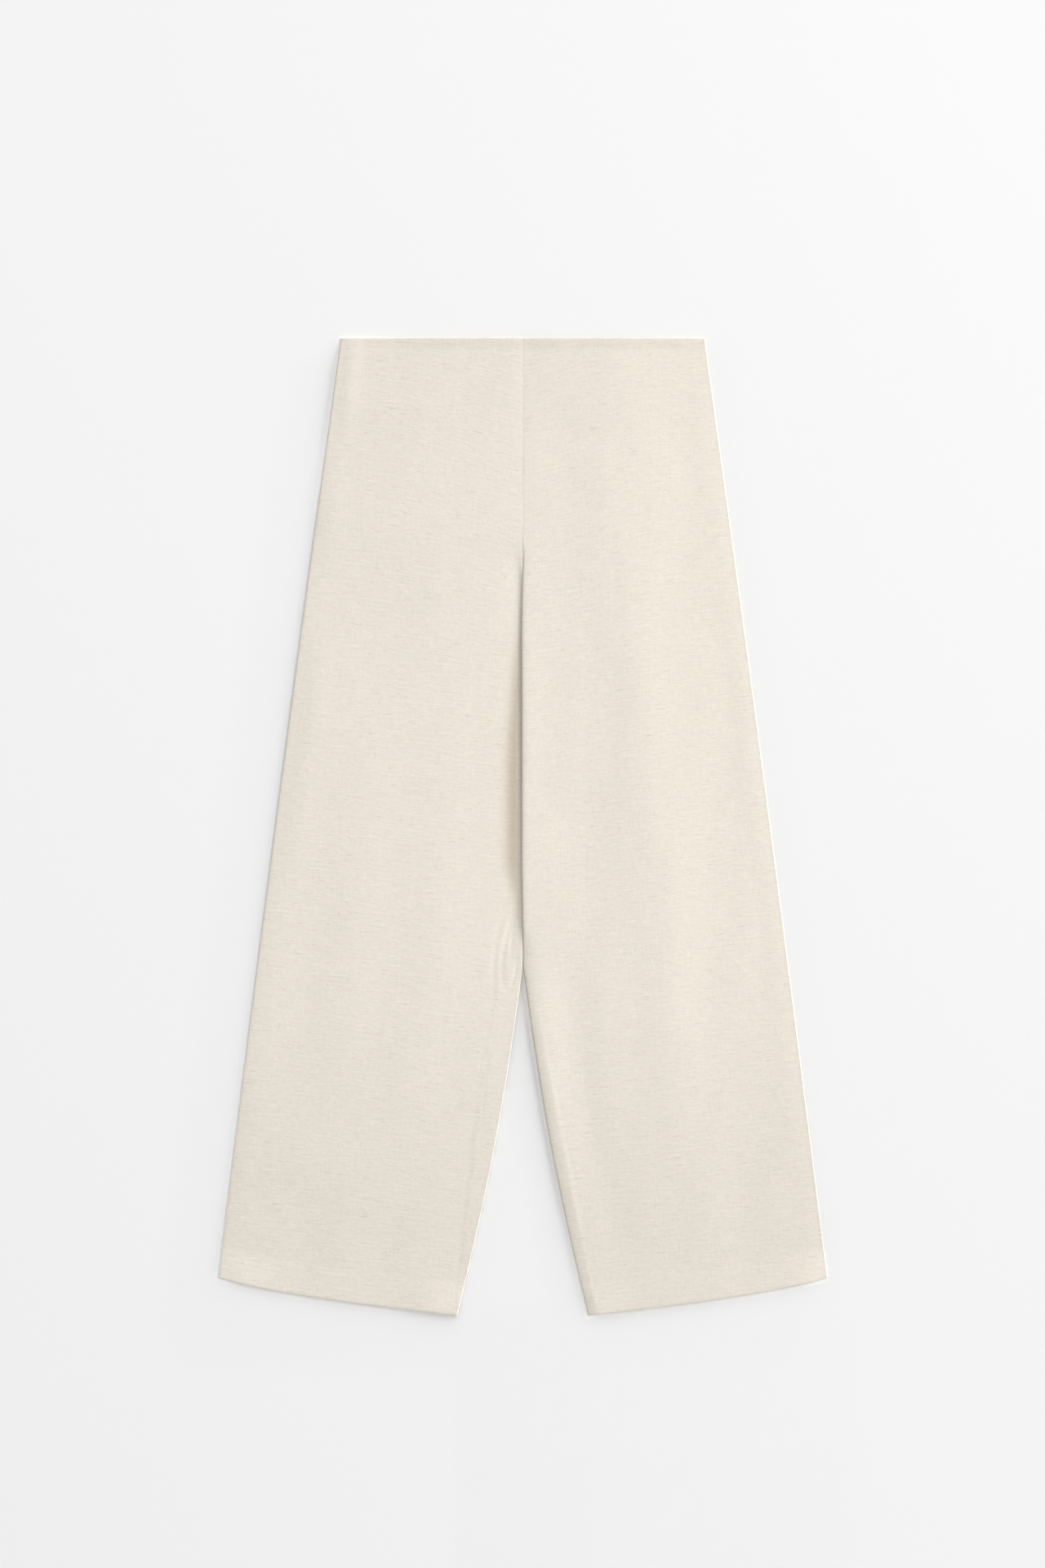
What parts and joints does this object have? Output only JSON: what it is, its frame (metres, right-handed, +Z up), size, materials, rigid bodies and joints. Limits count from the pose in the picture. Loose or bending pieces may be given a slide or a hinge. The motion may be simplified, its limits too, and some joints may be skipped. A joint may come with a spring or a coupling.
{
  "type": "barrel leg trousers",
  "caption": "Wide barrel leg trousers in pale linen, laid flat, with a plain turned waist edge, a deep centre fold and turned-up hems.",
  "frame": {"origin": "on the surface that the garment lies on, under the middle of its length and width", "axes": "+Y from the hems to the waist, +X towards the wearer's left leg, +Z up out of the front of the garment"},
  "size_m": [0.623, 1, 0.0076],
  "materials": {
    "linen": "matte ecru linen blend in plain weave with darker slubs",
    "zip_tape": "close woven polyester tape",
    "zip_metal": "satin enamel"
  },
  "bodies": {
    "root": {"front_right": "linen", "hem_front_right": "linen", "waist_front_right": "linen", "back_right": "linen", "hem_back_right": "linen", "waist_back_right": "linen", "front_left": "linen", "hem_front_left": "linen", "waist_front_left": "linen", "back_left": "linen", "hem_back_left": "linen", "waist_back_left": "linen", "zip_tape": "zip_tape", "zip_slider": "zip_metal"}
  },
  "joints": []
}
